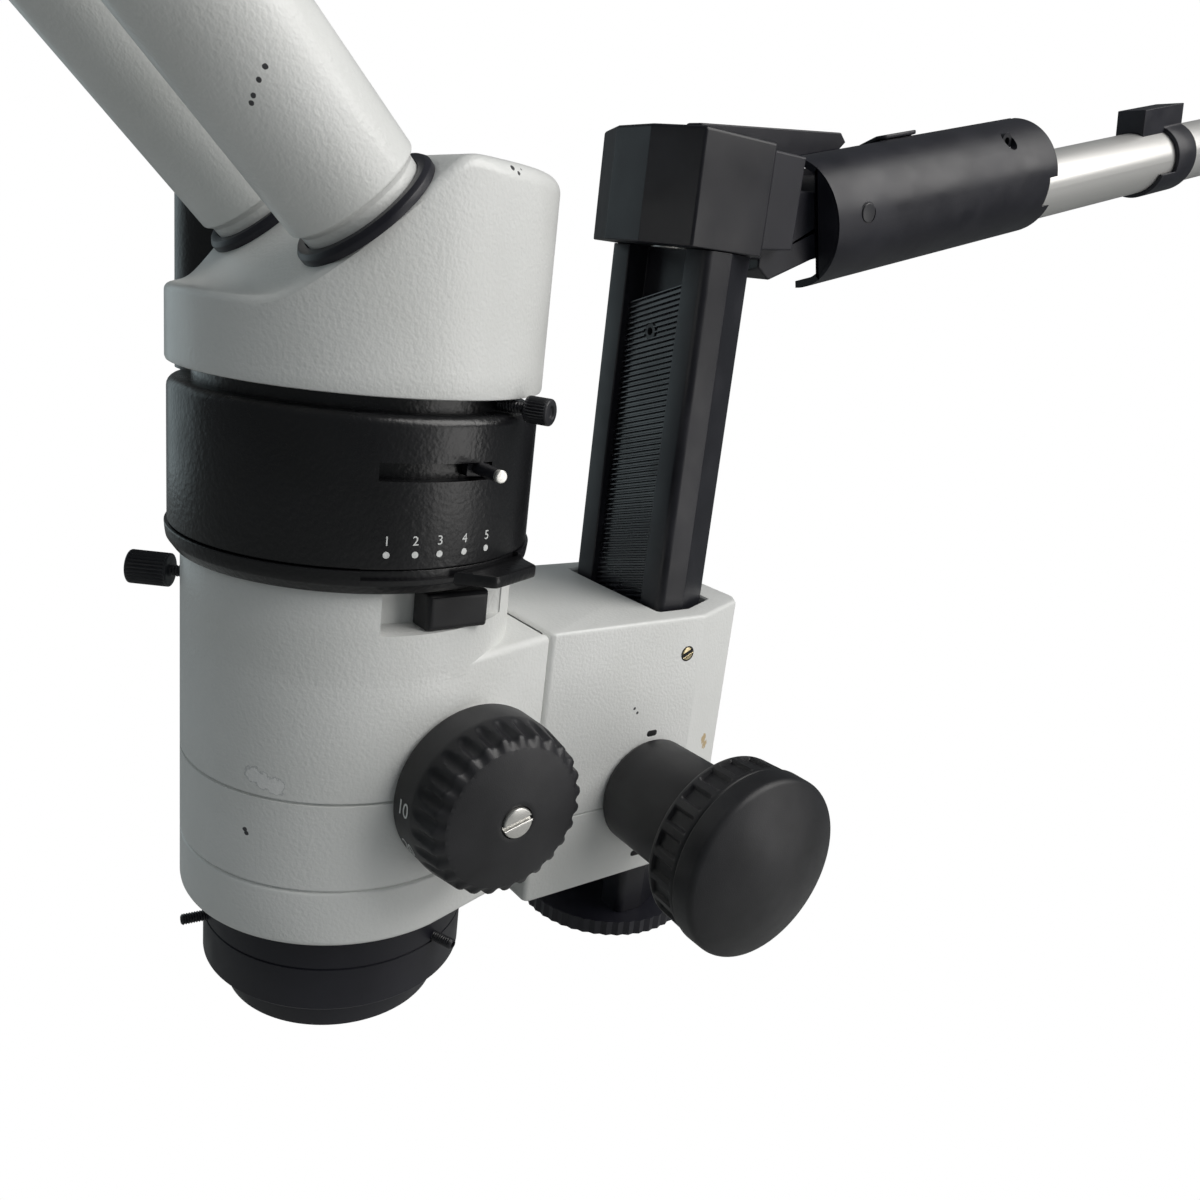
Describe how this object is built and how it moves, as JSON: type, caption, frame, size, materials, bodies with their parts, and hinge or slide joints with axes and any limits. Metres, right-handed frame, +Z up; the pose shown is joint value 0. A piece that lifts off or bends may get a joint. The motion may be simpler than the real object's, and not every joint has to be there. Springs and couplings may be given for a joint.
{
  "type": "stereo zoom microscope",
  "caption": "Stereo zoom microscope with inclined binocular head, side zoom and focus knobs, rack column and tilting boom arm.",
  "frame": {"origin": "on the optical axis at the lower face of the objective ring", "axes": "+Z up along the optical axis, -Y towards the user, +X to the user's right"},
  "size_m": [0.1828, 0.5622, 0.3422],
  "materials": {
    "white_enamel": "orange-peel enamel, off-white",
    "black_enamel": "glossy orange-peel black enamel",
    "black_anodised": "black anodised, satin",
    "black_plastic": "moulded, satin",
    "rubber": "matte",
    "steel": "ground and satin",
    "black_steel": "black oxide",
    "chrome": "polished",
    "brass": "turned",
    "glass": "coated optical glass",
    "pad": "low-friction plastic"
  },
  "bodies": {
    "boom": {"boom_tube": "steel", "boom_collar": "black_anodised", "arm_shell_right": "black_anodised", "arm_shell_left": "black_anodised", "arm_knuckle": "black_steel", "arm_pins": "black_steel"},
    "cap": {"neck_block": "black_anodised", "column_cap": "black_anodised", "swivel_bush": "brass"},
    "column": {"column": "black_anodised", "rack": "black_steel", "rack_screws": "black_steel", "column_spindle": "steel", "stop_disc": "black_anodised"},
    "carriage": {"focus_housing": "white_enamel", "guide_pads": "pad", "guide_screws": "brass", "zoom_housing": "white_enamel", "objective_collar": "white_enamel", "recess_block": "black_plastic", "objective_ring": "black_enamel", "objective_lens": "glass", "objective_screws": "black_steel", "zoom_rods": "steel", "lens_carrier_lower": "brass", "zoom_lenses_lower": "glass", "drum_housing": "black_enamel", "iris_blades": "black_steel", "phototube": "black_enamel", "phototube_cap": "black_plastic", "head_housing": "white_enamel", "head_prisms": "glass", "barrel_flange_right": "black_anodised", "barrel_flange_left": "black_anodised"},
    "focus_knobs": {"pinion_shaft": "steel", "focus_hub_right": "black_plastic", "focus_hub_left": "black_plastic", "focus_grip_right": "black_plastic", "focus_grip_left": "black_plastic", "focus_cap_right": "black_plastic", "focus_cap_left": "black_plastic"},
    "zoom_knobs": {"zoom_shaft": "steel", "zoom_knob_right": "black_plastic", "zoom_knob_left": "black_plastic", "zoom_knob_screws": "chrome"},
    "upper_zoom_lenses": {"lens_carrier_upper": "brass", "zoom_lenses_upper": "glass"},
    "iris_lever": {"iris_ring": "black_enamel"},
    "splitter": {"splitter_slide": "steel", "splitter_prism": "glass"},
    "drum_clamp": {"drum_screw": "black_steel"},
    "side_clamp": {"side_screw": "black_steel"},
    "right_barrel": {"barrel_right": "white_enamel", "eyepiece_right": "black_anodised"},
    "left_barrel": {"barrel_left": "white_enamel", "eyepiece_left": "black_anodised"},
    "right_eyecup": {"dioptre_ring_right": "black_plastic", "eyecup_right": "rubber"},
    "left_eyecup": {"dioptre_ring_left": "black_plastic", "eyecup_left": "rubber"}
  },
  "joints": [
    {"name": "boom_tilt", "type": "hinge", "parent": "boom", "child": "cap", "pos_m": [0, 0.1601, 0.2348], "axis": [1, 0, 0], "range_deg": [-8, 8]},
    {"name": "column_swivel", "type": "hinge", "parent": "cap", "child": "column", "pos_m": [0, 0.103, 0.217], "axis": [0, 0, 1], "range_deg": [-90, 90]},
    {"name": "focus_slide", "type": "slide", "parent": "column", "child": "carriage", "axis": [0, 0, 1], "range_m": [-0.018, 0.05]},
    {"name": "focus_turn", "type": "hinge", "parent": "carriage", "child": "focus_knobs", "pos_m": [0, 0.0885, 0.0537], "axis": [1, 0, 0], "range_deg": [-457, 166]},
    {"name": "zoom_slide", "type": "slide", "parent": "carriage", "child": "upper_zoom_lenses", "axis": [0, 0, 1], "range_m": [-0.0146, 0]},
    {"name": "zoom_turn", "type": "hinge", "parent": "carriage", "child": "zoom_knobs", "pos_m": [0, 0.0168, 0.0757], "axis": [1, 0, 0], "range_deg": [-1, 202]},
    {"name": "iris_turn", "type": "hinge", "parent": "carriage", "child": "iris_lever", "pos_m": [0, 0, 0.134], "axis": [0, 0, 1], "range_deg": [-38, 14]},
    {"name": "splitter_slide", "type": "slide", "parent": "carriage", "child": "splitter", "axis": [0, 1, 0], "range_m": [-0.0215, 0.0003]},
    {"name": "drum_clamp_turn", "type": "hinge", "parent": "carriage", "child": "drum_clamp", "pos_m": [0.0433, 0.025, 0.1736], "axis": [0.866, 0.5, 0], "range_deg": [-360, 90]},
    {"name": "side_clamp_turn", "type": "hinge", "parent": "carriage", "child": "side_clamp", "pos_m": [-0.02939, -0.04045, 0.1175], "axis": [-0.5878, -0.809, 0], "range_deg": [-360, 90]},
    {"name": "right_barrel_turn", "type": "hinge", "parent": "carriage", "child": "right_barrel", "pos_m": [0.0295, 0, 0.1996], "axis": [0, -0.7071, 0.7071], "range_deg": [-25, 25]},
    {"name": "left_barrel_turn", "type": "hinge", "parent": "carriage", "child": "left_barrel", "pos_m": [-0.0295, 0, 0.1996], "axis": [0, -0.7071, 0.7071], "range_deg": [-25, 25]},
    {"name": "right_dioptre_turn", "type": "hinge", "parent": "right_barrel", "child": "right_eyecup", "pos_m": [0.0335, -0.00283, 0.19677], "axis": [0, -0.7071, 0.7071], "range_deg": [-160, 160]},
    {"name": "left_dioptre_turn", "type": "hinge", "parent": "left_barrel", "child": "left_eyecup", "pos_m": [-0.0335, -0.00283, 0.19677], "axis": [0, -0.7071, 0.7071], "range_deg": [-160, 160]}
  ],
  "couplings": [
    {"joint": "focus_turn", "follows": "focus_slide", "rad_per_m": -158.67},
    {"joint": "zoom_turn", "follows": "zoom_slide", "rad_per_m": -240},
    {"joint": "left_barrel_turn", "follows": "right_barrel_turn", "ratio": -1}
  ]
}
